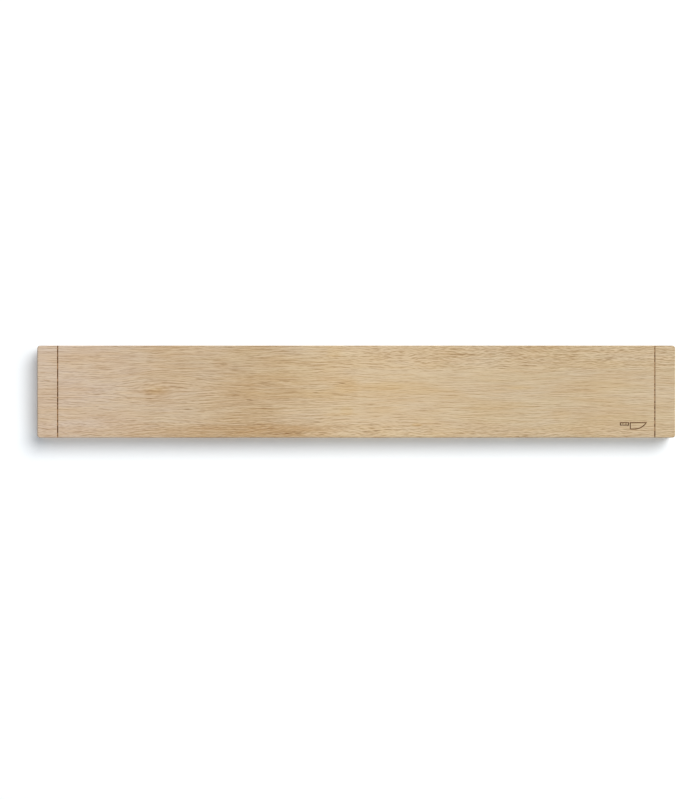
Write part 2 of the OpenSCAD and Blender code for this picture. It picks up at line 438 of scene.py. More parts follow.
def grain_flow(graph, restless):
    """Drifts and waves the grain, and opens it round a knot.

    Gives the height in the grain, the wave alone and a mask of the knot's heart.
    """
    drift = (graph.noise(DRIFT, 1.0) - 0.5) * DRIFT_SPAN
    wave = (graph.noise(WAVE, 1.0) - 0.5) * (restless * 2.2 + 0.4)
    from_x = graph.x - KNOT[0] * HALF_LEN / MM
    from_z = graph.z - (MID_Z + KNOT[1] * HALF_H) / MM
    eye = bell(graph, from_x / KNOT_FLOW[0], from_z / KNOT_FLOW[1])
    heart = bell(graph, from_x / KNOT_HEART[0], (from_z + wave) / KNOT_HEART[1])
    return graph.z + drift + wave - from_z * eye * KNOT_PULL, wave, heart


def lines_with_painted_highlight(graph, size, layer):
    """Lines of the grain with a paler rim above and below: a painted highlight beside each line."""
    def lines(height):
        return graph.noise(size, 1.0, at=(graph.x, graph.y, height))
    # Painted highlight: taking away the lines a little above and below leaves a pale rim beside each dark
    # line.
    offset_lines_for_highlight = lines(layer + RIM) + lines(layer - RIM)
    return lines(layer) * (1.0 + 2.0 * PAINTED_HIGHLIGHT_SHARE) - offset_lines_for_highlight * PAINTED_HIGHLIGHT_SHARE


def grain_lines(graph, layer, restless, calm):
    """Short and long lines: shorter and stronger where restless, weaker where calm."""
    short = lines_with_painted_highlight(graph, SHORT_STREAK, layer)
    long = lines_with_painted_highlight(graph, LONG_STREAK, layer)
    broken = restless * 0.25 + 0.32
    contrast = restless * 0.35 + 1.15 - calm * 0.28
    return (short * broken + long * (1.0 - broken) - 0.5) * contrast + 0.5


def slow_tones(graph, share, layer, wave, band):
    """The colour under the lines: tone along the bar, warmth, patches and bands."""
    patch = graph.noise(PATCH, 1.0, at=(graph.x, graph.y, layer))
    warmth = graph.noise(WARMTH, 2.0, 0.55, (graph.x + WARMTH_SHIFT, graph.y, layer))
    gold = spots(graph, GOLD_PATCHES, graph.z + wave)
    brown = spots(graph, BROWN_ZONES, graph.z + wave)
    warm = graph.mix(graph.step(warmth, 0.35, 0.65), COOL_TINT, WARM_TINT)
    colour = graph.tint(graph.ramp(share, TONES), 1.0, warm)
    colour = graph.tint(colour, graph.step(patch, 0.62, 0.34), PATCH_TINT)
    colour = graph.tint(colour, brown * graph.step(band, 0.75, 0.4, 0.45, 1.0), BROWN_TINT)
    colour = graph.tint(colour, gold * 0.75, GOLD_TINT)
    return graph.tint(colour, graph.step(band, 0.58, 0.34), BAND_TINT)


def end_grain(graph, colour):
    """Darkens the bar's ends and gives them open pores."""
    end = graph.step(graph.nx, 0.8, 1.0)
    pore, size = graph.cells(END_PORE)
    colour = graph.tint(colour, end, END_TINT)
    return graph.tint(colour, end * graph.step(pore, 0.35, 0.15) * size, END_PORE_TINT)


def wood_figure(graph):
    """The grain of the bar: colour, height and roughness.

    It is restless near the top right and the bottom, and calm in the middle of the right half.
    """
    share = graph.x / (2 * HALF_LEN / MM) + 0.5
    height = (graph.z - MID_Z / MM) / (HALF_H / MM)
    restless = graph.step(height, 0.3, 0.8) * graph.step(share, 0.35, 0.6)
    restless += graph.step(height, -0.5, -0.85) * 0.7
    calm = graph.step(share, 0.45, 0.58) * graph.step(height, 0.6, 0.3) * graph.step(height, -0.9, -0.6)

    layer, wave, heart = grain_flow(graph, restless)
    streak = grain_lines(graph, layer, restless, calm)
    along = (graph.x, graph.y, layer)
    band = graph.noise(BAND, 2.0, 0.6, along)
    fibre = graph.noise(FIBRE, 2.0, 0.6, along)
    far, luck = graph.cells(VESSEL, along)
    vessel = graph.step(far, 0.31, 0.13) * graph.step(luck, 0.25, 0.95)
    flecks = spots(graph, DARK_FLECKS, graph.z + wave * 0.6)

    colour = slow_tones(graph, share, layer, wave, band)
    # Pale streaks of the grain, and with them the painted highlight of the lines' pale rims.
    colour = graph.mix(graph.step(streak, 0.5, 0.75, 0.0, 0.45), colour, PALE_STREAK_AND_HIGHLIGHT)
    colour = graph.tint(colour, graph.step(streak, 0.52, 0.25), STREAK_TINT)
    colour = graph.tint(colour, heart * graph.step(streak, 0.9, 0.45), HEART_TINT)
    colour = graph.tint(colour, vessel * (0.9 - calm * 0.45), VESSEL_TINT)
    colour = graph.tint(colour, flecks * graph.step(streak, 0.7, 0.4), FLECK_TINT)
    colour = graph.tint(colour, graph.step(fibre, 0.6, 0.35), FIBRE_TINT)
    relief = 0.6 + fibre * 0.4 - vessel * 0.6 - graph.step(streak, 0.45, 0.25) * 0.3
    rough = 0.56 + vessel * 0.12 + fibre * 0.08
    return end_grain(graph, colour), relief, rough


# ---------- Burnt and milled wood ----------

BURN_BEAD = (30, 2, 1.3)  # mm
BURN_GAPS = 0.05  # how much more broken the burn is on the right half of the bar
BURN_DEPTH = 0.35  # mm below the face, where a burn is at its darkest
SCORCH_PALE = shade(190, 150, 108)
SCORCH_DEEP = shade(104, 68, 42)
LINE_PALE = shade(196, 154, 106)
LINE_DEEP = shade(102, 64, 34)
LINE_FADING = 0.35  # how much fainter the line on the right half is
FAINT_BURN = shade(180, 158, 128)
MARK_PALE = shade(128, 88, 52)
MARK_DEEP = shade(90, 56, 30)


def left_to_right(graph, left, right):
    """A number for the left half of the bar and another for the right half."""
    return graph.step(graph.x, -1.0, 1.0, left, right)


def scorched_lines(graph):
    """How burnt the wood is at the two lines across the front: 1 in a line, fading beside it."""
    edge = LINE_W / MM / 2
    off = abs(abs(graph.x) - LINE_X / MM)
    ragged = graph.noise((2, 2, 0.9)) * 0.24
    front = graph.step(graph.y, FRONT_Y / MM + 1.6, FRONT_Y / MM + 0.9)
    return graph.step(off - ragged, edge + 0.02, edge - 0.16) * front


def burn_beads(graph):
    """Where the laser dwelt, in beads that are long along the grain."""
    bead = graph.noise(BURN_BEAD, 1.0, 0.6)
    return graph.step(bead + left_to_right(graph, 0.0, BURN_GAPS), 0.58, 0.49)


def board_wood():
    """The bar's wood, scorched beside the two burnt lines."""
    graph = Graph("board_wood")
    colour, relief, rough = wood_figure(graph)
    burn = scorched_lines(graph) * left_to_right(graph, 0.8, 0.65)
    scorch = graph.mix(burn_beads(graph), SCORCH_PALE, SCORCH_DEEP)
    colour = graph.mix(burn, colour, scorch)
    return graph.finish(colour, rough, relief, 0.06 * MM, Specular_IOR_Level=0.35)


def burnt_wood(name, pale, deep, fading=0.0):
    """Wood burnt by a laser: darker the deeper it is cut, with darker beads where it dwelt.

    The burn on the right half of the bar can be made fainter.
    """
    graph = Graph(name)
    depth = graph.step(graph.y, FRONT_Y / MM, FRONT_Y / MM + BURN_DEPTH)
    beads = burn_beads(graph)
    colour = graph.mix(depth * 0.35 + beads * 0.65, pale, deep)
    faint = left_to_right(graph, 0.0, fading) * (1.0 - beads * 0.7)
    colour = graph.mix(faint, colour, FAINT_BURN)
    grit = graph.noise(0.12)
    colour = graph.tint(colour, graph.step(grit, 0.6, 0.4), (0.85, 0.82, 0.8))
    return graph.finish(colour, 0.85, grit, 0.05 * MM, Specular_IOR_Level=0.2)


def cut_wood():
    """Wood freshly milled in the back, with faint cutter marks."""
    graph = Graph("cut_wood")
    colour, relief, rough = wood_figure(graph)
    marks = graph.math("SINE", graph.x * 2.4 + graph.noise(3) * 3.0)
    colour = graph.tint(colour, graph.step(marks, 0.2, 1.0, 0.0, 0.5), (0.93, 0.91, 0.88))
    relief += marks * 0.15
    return graph.finish(colour, rough + 0.12, relief, 0.08 * MM, Specular_IOR_Level=0.3)


# ---------- Plywood ----------

PLY_PAIR = 1.33  # mm, a dark ply and a pale one
PLY_DARK = shade(138, 104, 72)
PLY_PALE = shade(205, 176, 138)
VENEER = [(0.3, shade(186, 152, 112)), (0.5, shade(203, 171, 130)), (0.7, shade(214, 185, 146))]


def cover_wood():
    """Thin plywood: a plain rotary veneer on its faces, plies on its edges."""
    graph = Graph("cover_wood")
    swirl = graph.noise((60, 8, 16), 1.0) * 26
    ring = graph.noise((300, 2, 3.2), 3.0, 0.55, (graph.x, graph.y, graph.z + swirl))
    fibre = graph.noise((10, 0.3, 0.25), 2.0, 0.6)
    far, luck = graph.cells((9, 0.6, 0.6))
    vessel = graph.step(far, 0.34, 0.1) * luck
    colour = graph.ramp(ring, VENEER)
    colour = graph.tint(colour, graph.step(fibre, 0.6, 0.35), (0.92, 0.90, 0.87))
    colour = graph.tint(colour, vessel * 0.8, (0.66, 0.56, 0.46))
    ply = graph.math("SINE", graph.y * (2 * math.pi / PLY_PAIR))
    edge = graph.mix(graph.step(ply, -0.3, 0.3), PLY_DARK, PLY_PALE)
    colour = graph.mix(graph.step(graph.ny, 0.5, 0.9), edge, colour)
    relief = 0.5 + fibre * 0.4 - vessel * 0.5
    return graph.finish(colour, 0.62 + fibre * 0.1, relief, 0.06 * MM, Specular_IOR_Level=0.35)


# ---------- Metal, magnets, rubber and plastic ----------

# Pale and deep colour, sizes of the drawn lines in mm, tint of the dull patches, roughness
PLATING = {
    "zinc_plate": ((0.70, 0.71, 0.73), (0.55, 0.56, 0.59), (6, 6, 0.12), (0.72, 0.72, 0.74), 0.34),
    "screw_steel": ((0.74, 0.75, 0.76), (0.60, 0.61, 0.63), (0.5, 0.2, 0.5), (0.6, 0.6, 0.62), 0.30),
    "yellow_zinc": ((0.78, 0.62, 0.30), (0.66, 0.48, 0.20), (0.5, 0.2, 0.5), (0.75, 0.62, 0.5), 0.32),
    "keeper_steel": ((0.58, 0.58, 0.59), (0.46, 0.46, 0.48), (12, 1, 0.1), (0.6, 0.55, 0.5), 0.42),
}
DULL_SHIFT = 9.9  # mm along the bar, away from the clouds


def plated_steel(name):
    """Plated steel: cloudy spangle, faint drawn lines and dull patches."""
    pale, deep, drawn, tarnish, roughness = PLATING[name]
    graph = Graph(name)
    cloud = graph.noise(3.5, 3.0, 0.6)
    dull = graph.noise(1.1, 3.0, 0.65, (graph.x + DULL_SHIFT, graph.y, graph.z))
    lines = graph.noise(drawn, 2.0, 0.6)
    colour = graph.mix(graph.step(cloud, 0.3, 0.7), deep, pale)
    colour = graph.tint(colour, graph.step(dull, 0.55, 0.8, 0.0, 0.6), tarnish)
    rough = roughness + (lines - 0.5) * 0.25 + graph.step(dull, 0.5, 0.8) * 0.15
    return graph.finish(colour, rough, lines, 0.012 * MM, Metallic=1.0)


def ferrite():
    """Pressed and fired ferrite: near black, with ground faces and tiny pits that are darkened with
    painted shade.
    """
    graph = Graph("ferrite")
    pit, luck = graph.cells(0.9)
    ground = graph.noise((0.15, 3, 6), 2.0, 0.6)
    cloud = graph.noise(6, 3.0, 0.6)
    hole = graph.step(pit, 0.3, 0.1) * graph.step(luck, 0.6, 1.0)
    colour = graph.mix(graph.step(cloud, 0.3, 0.7), (0.035, 0.035, 0.038), (0.062, 0.062, 0.068))
    # Painted shade: the pits are darkened to half, as if in shade.
    colour = graph.tint(colour, hole, (0.5, 0.5, 0.5))
    relief = 0.6 + ground * 0.3 - hole * 0.5
    return graph.finish(colour, 0.42 + cloud * 0.25, relief, 0.05 * MM)


def foam():
    """Closed-cell foam: small bubbles behind a skin, with painted shade darkening the middle of each
    dimple.
    """
    graph = Graph("foam")
    bubble, luck = graph.cells(0.45)
    # Painted shade: darker towards the middle of each bubble, where the bump sinks.
    colour = graph.mix(graph.step(bubble, 0.1, 0.7), (0.045, 0.045, 0.05), (0.10, 0.10, 0.107))
    colour = graph.tint(colour, luck * 0.3, (0.7, 0.7, 0.7))
    return graph.finish(colour, 0.9, bubble, 0.2 * MM, Specular_IOR_Level=0.2)


def pad_rubber():
    """Soft grey rubber with a satin moulded skin and a little dust."""
    graph = Graph("pad_rubber")
    speck, luck = graph.cells(0.25)
    dust = graph.noise(1.6, 3.0, 0.6)
    colour = graph.mix(graph.step(dust, 0.4, 0.75), (0.16, 0.16, 0.162), (0.25, 0.248, 0.243))
    colour = graph.tint(colour, graph.step(luck, 0.7, 1.0) * 0.5, (0.75, 0.75, 0.75))
    return graph.finish(colour, 0.72 + dust * 0.15, speck, 0.03 * MM, Specular_IOR_Level=0.4)


def nylon():
    """Moulded nylon: milky, slightly see-through, with flow marks along the plug."""
    graph = Graph("nylon")
    flow = graph.noise((0.8, 7, 0.8), 3.0, 0.6)
    colour = graph.mix(flow, (0.56, 0.56, 0.535), (0.68, 0.68, 0.665))
    colour = graph.tint(colour, graph.noise(3) * 0.3, (0.9, 0.9, 0.87))
    milky = {"Subsurface_Weight": 0.15, "Subsurface_Scale": 0.6 * MM}
    return graph.finish(colour, 0.38 + flow * 0.2, flow, 0.03 * MM, **milky)


# ---------- Meshes ----------


def skin(loops, ring=False):
    """A closed mesh through loops of equal length, capped at both ends or joined end to start."""
    bm = bmesh.new()
    rows = [[bm.verts.new(point) for point in loop] for loop in loops]
    pairs = list(zip(rows, rows[1:]))
    if ring:
        pairs.append((rows[-1], rows[0]))
    for near, far in pairs:
        for i in range(len(near)):
            j = (i + 1) % len(near)
            bm.faces.new((near[i], near[j], far[j], far[i]))
    if not ring:
        bm.faces.new(rows[0])
        bm.faces.new(rows[-1])
    bmesh.ops.recalc_face_normals(bm, faces=bm.faces)
    return bm


def joined(parts):
    """Several meshes as one."""
    whole = bmesh.new()
    for part in parts:
        mesh = bpy.data.meshes.new("part")
        part.to_mesh(mesh)
        part.free()
        whole.from_mesh(mesh)
        bpy.data.meshes.remove(mesh)
    return whole


def make(name, bm, *materials):
    """An object made of a mesh, in place in the row frame."""
    mesh = bpy.data.meshes.new(name)
    bm.to_mesh(mesh)
    bm.free()
    for material in materials:
        mesh.materials.append(material)
    obj = bpy.data.objects.new(name, mesh)
    bpy.context.scene.collection.objects.link(obj)
    return obj


def unmake(obj):
    """The mesh of an object, which is removed."""
    bm = bmesh.new()
    bm.from_mesh(obj.data)
    bpy.data.objects.remove(obj)
    return bm


def settle(obj):
    """Applies an object's modifiers to its mesh."""
    graph = bpy.context.evaluated_depsgraph_get()
    mesh = bpy.data.meshes.new_from_object(obj.evaluated_get(graph), depsgraph=graph)
    old = obj.data
    obj.modifiers.clear()
    obj.data = mesh
    mesh.name = obj.name
    bpy.data.meshes.remove(old)


def cut(obj, bm, material):
    """Cuts a closed mesh out of an object; the faces it leaves take the material."""
    tool = make("tool", bm, material)
    modifier = obj.modifiers.new("cut", "BOOLEAN")
    modifier.operation = "DIFFERENCE"
    modifier.solver = "EXACT"
    modifier.material_mode = "TRANSFER"
    modifier.object = tool
    settle(obj)
    used = tool.data
    bpy.data.objects.remove(tool)
    bpy.data.meshes.remove(used)


def shade_smooth(obj):
    """Smooth faces with sharp creases, and flat faces kept flat up to their rounded edges."""
    mesh = obj.data
    mesh.shade_smooth()
    mesh.set_sharp_from_angle(angle=math.radians(CREASE))
    modifier = obj.modifiers.new("flat_faces", "WEIGHTED_NORMAL")
    modifier.keep_sharp = True
    modifier.weight = 100
    settle(obj)
    return obj


def bar_outline(low, high, corner_r, pitch, steps):
    """Points and inward directions round a bar seen from the front."""
    left, right = low.x + corner_r, high.x - corner_r
    bottom, top = low.z + corner_r, high.z - corner_r
    corners = [(right, top), (left, top), (left, bottom), (right, bottom)]
    found = []
    for k, (x, z) in enumerate(corners):
        for i in range(steps + 1):
            turn = math.radians(90 * (k + i / steps))
            out = Vector((math.cos(turn), 0, math.sin(turn)))
            found.append((Vector((x, 0, z)) + out * corner_r, -out))
        next_x, next_z = corners[(k + 1) % 4]
        start = found[-1][0]
        end = Vector((next_x, 0, next_z)) + out * corner_r
        count = int((end - start).length / pitch)
        for i in range(1, count):
            found.append((start.lerp(end, i / count), -out))
    return found


def eased_bar(low, high, corner_r, ease_r, pitch, steps, waver=0.0):
    """A bar with round corners and eased edges. Waver lets the easing vary along them, as by hand."""
    outline = bar_outline(low, high, corner_r, pitch, steps)

    def ease(point):
        one = math.sin(point.x * 83 + point.z * 41)
        other = math.sin(point.x * 29 - point.z * 160 + 1)
        return ease_r * (1 + waver * one * other)

    def ring(turn, face_y, inward):
        made = []
        for point, normal in outline:
            r = ease(point)
            place = point + normal * r * (1 - math.sin(turn))
            place.y = face_y + inward * r * (1 - math.cos(turn))
            made.append(place)
        return made

    turns = [math.radians(90 * i / steps) for i in range(steps + 1)]
    front = [ring(turn, low.y, 1) for turn in turns]
    back = [ring(turn, high.y, -1) for turn in reversed(turns)]
    return skin(front + back)


def arc(r, start, sweep, steps, y, x, z):
    """Points along an arc about an axis along Y. Start and sweep are in radians."""
    turns = [start + sweep * i / steps for i in range(steps + 1)]
    return [Vector((x + r * math.cos(turn), y, z + r * math.sin(turn))) for turn in turns]


def round_loop(r, y, count, x=0.0, z=0.0):
    """A circle about an axis along Y."""
    return arc(r, 0.0, 2 * math.pi, count, y, x, z)[:-1]


def lathe(profile, count, x, z):
    """A round solid about an axis along Y, from (radius, y) pairs."""
    return skin([round_loop(r, y, count, x, z) for r, y in profile])


def stadium_loop(r, low_z, high_z, y, x):
    """An upright slot's outline."""
    return arc(r, 0.0, math.pi, 16, y, x, high_z) + arc(r, math.pi, math.pi, 16, y, x, low_z)


def keyhole_loop(grow, y, x):
    """A keyhole's outline, drawn larger by grow: a round opening with a slot rising from it."""
    big = KEYHOLE_R + grow
    small = SLOT_R + grow
    meet = math.acos(small / big)
    opening = arc(big, math.pi - meet, math.pi + 2 * meet, 32, y, x, KEYHOLE_Z)
    return opening + arc(small, 0.0, math.pi, 16, y, x, SLOT_TOP)


def box_tool(low, high, corner_r, y, top):
    """A pocket with round corners, cut from one depth to another."""
    outline = bar_outline(low, high, corner_r, WHOLE_SIDE, 8)
    return skin([[Vector((point.x, depth, point.z)) for point, _ in outline] for depth in (y, top)])


def grown(low, high, gap):
    """A box made larger by a gap along X and Z."""
    edge = Vector((gap, 0, gap))
    return low - edge, high + edge


# ---------- Screws ----------


def cover_screw_places():
    """X and Z of the screws that hold the cover."""
    columns = (-COVER_SCREW_X, 0.0, COVER_SCREW_X)
    return [(x, MID_Z + side * COVER_SCREW_Z) for side in (1, -1) for x in columns]


def plate_screw_places():
    """X and Z of the screws that hold the keyhole plates."""
    return [(side * PLATE_X, MID_Z + up * PLATE_SCREW_REACH) for side in (1, -1) for up in (1, -1)]


def bore_tools(places, r, length):
    """Countersunk holes for small screws, cut from the back face."""
    head = SMALL_HEAD_R + BORE_PLAY
    profile = [(head, BACK_Y + OVER), (head, BACK_Y), (r, BACK_Y - (head - r)), (r, BACK_Y - length)]
    return joined([lathe(profile, 40, x, z) for x, z in places])


def cross_loop(width, thick, y):
    """A cross recess's outline about the Y axis."""
    a, b = width / 2, thick / 2
    fillet = b + 0.12 * MM
    found = [(a, -b), (a, b), (fillet, fillet)]
    for _ in range(3):
        found += [(-z, x) for x, z in found[-3:]]
    return [Vector((x, y, z)) for x, z in found]


def cross_tool(width, thick, depth, out):
    """A tapered cross to cut into a head at y = 0. Out is +1 where the head faces +Y, else -1."""
    return skin([
        cross_loop(width, thick, out * OVER),
        cross_loop(width, thick, 0.0),
        cross_loop(width * 0.42, thick * 0.7, -out * depth),
    ])


def threaded(head, shank_r, root_r, pitch, start, end, tip, ahead, rows=12, count=36):
    """A screw along Y: head profile, plain shank, helical thread and point.

    Ahead is +1 where the point looks along +Y, else -1. Distances run from the head, and the
    point takes up the last of the thread.
    """
    flank = 0.22  # a flank's width, as a share of the pitch
    fullness = 1.35  # above 1 the crest is flat
    loops = [round_loop(r, y * ahead, count) for r, y in head]
    loops.append(round_loop(shank_r, start * ahead, count))
    total = int((end - start) / pitch * rows)
    for i in range(1, total + 1):
        along = start + (end - start) * i / total
        taper = min(1.0, (end - along) / tip)
        fade = min(1.0, (along - start) / pitch)
        core = root_r + (shank_r - root_r) * (1 - fade)
        body = core * (0.12 + 0.88 * taper ** 0.8)
        loop = []
        for j in range(count):
            turn = 2 * math.pi * j / count
            phase = (along / pitch + ahead * j / count) % 1.0
            crest = min(1.0, max(0.0, fullness - abs(phase - 0.5) / flank))
            r = body + (shank_r - core) * crest * (0.15 + 0.85 * taper)
            loop.append(Vector((r * math.cos(turn), along * ahead, r * math.sin(turn))))
        loops.append(loop)
    return skin(loops)


def driven(bm, cross, degrees, place):
    """A screw with a cross recess, turned about its axis and put in its place."""
    obj = make("screw", bm)
    cut(obj, cross, None)
    done = unmake(obj)
    bmesh.ops.rotate(done, verts=done.verts, matrix=Matrix.Rotation(math.radians(degrees), 3, "Y"))
    bmesh.ops.translate(done, verts=done.verts, vec=place)
    return done


def small_screw(x, z, degrees):
    """A countersunk wood screw, its head flush with the bar's back and its point along -Y."""
    r = SMALL_HEAD_R
    cone = r - SMALL_R
    head = [(r * 0.5, 0.0), (r - 0.12 * MM, 0.0), (r - 0.03 * MM, 0.05 * MM), (r - 0.05 * MM, 0.12 * MM)]
    head += [(SMALL_R + 0.25 * MM, cone - 0.15 * MM), (SMALL_R, cone + 0.25 * MM)]
    bm = threaded(head, SMALL_R, SMALL_ROOT_R, SMALL_PITCH, SMALL_PLAIN, SMALL_LEN, SMALL_TIP, -1, 10, 28)
    return driven(bm, cross_tool(*SMALL_CROSS, 1), degrees, (x, BACK_Y, z))


def build_small_screws(name, places, metal):
    """Several small screws as one piece, each driven to its own angle."""
    screws = [small_screw(x, z, 37 * i + 11) for i, (x, z) in enumerate(places)]
    return shade_smooth(make(name, joined(screws), metal))


def domed_head():
    """The profile of a wall screw's head, from its middle round the rim to the shank."""
    steps = 8
    cap_h = WALL_HEAD_H - WALL_RIM
    cap_r = (WALL_HEAD_R ** 2 + cap_h ** 2) / (2 * cap_h)
    reach = math.asin(WALL_HEAD_R / cap_r)
    turns = [reach * i / steps for i in range(1, steps + 1)]
    dome = [(cap_r * math.sin(turn), cap_r * (1 - math.cos(turn))) for turn in turns]
    dome += [(WALL_HEAD_R - 0.03 * MM, WALL_HEAD_H - 0.03 * MM), (WALL_HEAD_R - 0.1 * MM, WALL_HEAD_H)]
    return dome + [(WALL_SHANK_R + 0.3 * MM, WALL_HEAD_H), (WALL_SHANK_R, WALL_HEAD_H + 0.3 * MM)]


def build_wall_screws(metal):
    """Two domed cross-head screws with a helical thread and a point."""
    start = WALL_HEAD_H + WALL_PLAIN
    length = WALL_SCREW_HIGH.y - WALL_SCREW_LOW.y
    screws = []
    for side in (-1, 1):
        bm = threaded(domed_head(), WALL_SHANK_R, WALL_ROOT_R, WALL_PITCH, start, length, WALL_TIP, 1)
        place = (side * PLATE_X, WALL_SCREW_LOW.y, 0)
        screws.append(driven(bm, cross_tool(*WALL_CROSS, -1), 20 + 30 * side, place))
    return shade_smooth(make("wall_screw_pair", joined(screws), metal))


# ---------- Tools for the bar's lines and pictogram ----------


def mark_points(points, y):
    """Points of the pictogram, moved from the blade's heel to the mark's place on the front."""
    shift_x = MARK_X + (BOLSTER + HANDLE_LEN - BLADE_LEN) / 2
    shift_z = MARK_Z - BLADE_H / 2
    return [Vector((x + shift_x, y, z + shift_z)) for x, z in points]


def blade_loop(inset, y):
    """The blade's outline from its heel, drawn smaller by inset."""
    flat = BLADE_LEN - BELLY_LEN
    belly_r = (BELLY_LEN ** 2 + BLADE_H ** 2) / (2 * BLADE_H)
    r = belly_r - inset
    reach = math.acos((belly_r - BLADE_H + inset) / r)
    steps = 24
    turns = [reach * i / steps for i in range(steps + 1)]
    belly = [(flat + r * math.sin(turn), belly_r - r * math.cos(turn)) for turn in turns]
    return mark_points([(inset, BLADE_H - inset), (inset, inset)] + belly, y)


def handle_loop(inset, y):
    """The handle's outline, drawn smaller by inset."""
    right = -BOLSTER - inset
    left = -BOLSTER - HANDLE_LEN + inset
    top = BLADE_H - inset
    low = BLADE_H - HANDLE_H + inset
    return mark_points([(left, top), (left, low), (right, low), (right, top)], y)


def stroke_tool(outline):
    """A groove with leaning walls along an outline, as a laser leaves."""
    near, far = -MARK_LIP, MARK_STROKE + MARK_LIP
    floor = [(MARK_LEAN, MARK_D), (MARK_STROKE - MARK_LEAN, MARK_D)]
    section = [(near, -OVER), (near, 0.0)] + floor + [(far, 0.0), (far, -OVER)]
    return skin([outline(inset, FRONT_Y + y) for inset, y in section], ring=True)


def rivet_tools():
    """Two dots in the handle."""
    lip_r = RIVET_R + MARK_LIP
    profile = [(lip_r, FRONT_Y - OVER), (lip_r, FRONT_Y), (RIVET_R * 0.5, FRONT_Y + MARK_D)]
    places = [(-BOLSTER - HANDLE_LEN * i / 3, BLADE_H - HANDLE_H / 2) for i in (1, 2)]
    return [lathe(profile, 16, place.x, place.z) for place in mark_points(places, 0)]


def line_tool(x):
    """A groove across the front with a round bottom."""
    half = LINE_W / 2
    past = 2 * OVER
    lip = half + 0.06 * MM
    side = [(lip, -OVER), (lip, 0.0), (half - 0.04 * MM, LINE_D * 0.6), (half * 0.45, LINE_D)]
    section = [(-u, v) for u, v in side] + side[::-1]
    return skin([
        [Vector((x + u, FRONT_Y + v, z)) for u, v in section]
        for z in (BOARD_LOW.z - past, BOARD_HIGH.z + past)
    ])


# ---------- The pieces ----------


def mill_back(obj, milled):
    """Cuts the channel, the cover's rebate, the plates' pockets, their relief and the bores."""
    beyond = BACK_Y + OVER
    low, high = grown(MAGNETS_LOW, MAGNETS_HIGH, CHANNEL_GAP)
    low.x -= CHANNEL_SPARE
    high.x += CHANNEL_SPARE
    cut(obj, box_tool(low, high, CHANNEL_CORNER_R, MAGNETS_LOW.y, beyond), milled)
    low, high = grown(COVER_LOW, COVER_HIGH, COVER_GAP)
    cut(obj, box_tool(low, high, COVER_CORNER_R, COVER_LOW.y, beyond), milled)
    pockets = []
    cavities = []
    for side in ("left", "right"):
        low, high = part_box("hanger_" + side)
        x = (low.x + high.x) / 2
        low, high = grown(low, high, PLATE_GAP)
        pockets.append(box_tool(low, high, PLATE_CORNER_R, PLATE_LOW.y, beyond))
        ends = [stadium_loop(CAVITY_R, KEYHOLE_Z, SLOT_TOP, y, x) for y in (CAVITY_Y, beyond)]
        cavities.append(skin(ends))
    cut(obj, joined(pockets), milled)
    cut(obj, joined(cavities), milled)
    places = cover_screw_places() + plate_screw_places()
    cut(obj, bore_tools(places, SMALL_R + BORE_PLAY, SMALL_LEN + MM), milled)


def build_board(wood, line_burn, mark_burn, milled):
    """The bar: eased by hand, milled out behind, lined and marked in front."""
    bar = eased_bar(BOARD_LOW, BOARD_HIGH, BOARD_CORNER_R, BOARD_EASE_R, BOARD_PITCH, 7, EASE_WAVER)
    obj = make("board_bar", bar, wood)
    mill_back(obj, milled)
    cut(obj, joined([line_tool(-LINE_X), line_tool(LINE_X)]), line_burn)
    cut(obj, joined([stroke_tool(blade_loop), stroke_tool(handle_loop)] + rivet_tools()), mark_burn)
    return shade_smooth(obj)


def build_cover(wood):
    """The panel that closes the channel, with countersunk holes."""
    panel = eased_bar(COVER_LOW, COVER_HIGH, COVER_CORNER_R, COVER_EASE_R, COVER_PITCH, 4)
    obj = make("cover_panel", panel, wood)
    cut(obj, bore_tools(cover_screw_places(), COVER_BORE_R, COVER_BORE_LEN), wood)
    return shade_smooth(obj)


def build_plate(name, node, metal):
    """A stamped keyhole plate with rolled edges and a softened keyhole."""
    low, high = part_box(node)
    x = (low.x + high.x) / 2
    obj = make(name, eased_bar(low, high, PLATE_CORNER_R, PLATE_EASE_R, WHOLE_SIDE, 5), metal)
    roll, part = PLATE_ROLL, PLATE_ROLL * 0.3
    edge = [(roll, -OVER), (roll, 0.0), (part, part), (0.0, roll)]
    sides = [(grow, low.y + y) for grow, y in edge] + [(grow, high.y - y) for grow, y in edge[::-1]]
    cut(obj, skin([keyhole_loop(grow, y, x) for grow, y in sides]), metal)
    places = [(px, pz) for px, pz in plate_screw_places() if px * x > 0]
    cut(obj, bore_tools(places, PLATE_BORE_R, PLATE_BORE_LEN), metal)
    return shade_smooth(obj)


def plug_profile():
    """A plug's wall cut lengthwise: collar, sawtooth ribs, nose and bore."""
    collar_y = -PLUG_COLLAR_Y
    profile = [(PLUG_BORE_R + 0.3 * MM, collar_y), (PLUG_COLLAR_R - 0.2 * MM, collar_y)]
    profile += [(PLUG_COLLAR_R, collar_y + 0.2 * MM), (PLUG_COLLAR_R, 0.0)]
    profile += [(PLUG_R, 0.0), (PLUG_R, PLUG_NECK)]
    for i in range(int((PLUG_END - PLUG_NECK - PLUG_NOSE) / RIB)):
        y = PLUG_NECK + RIB * i
        profile += [(PLUG_R - RIB_DEPTH, y + 0.15 * MM), (PLUG_R, y + RIB * 0.9), (PLUG_R, y + RIB)]
    profile += [(PLUG_R - 0.9 * MM, PLUG_END - 0.2 * MM), (PLUG_R - 1.05 * MM, PLUG_END)]
    return profile + [(PLUG_BORE_R, PLUG_END), (PLUG_BORE_R, collar_y + 0.35 * MM)]


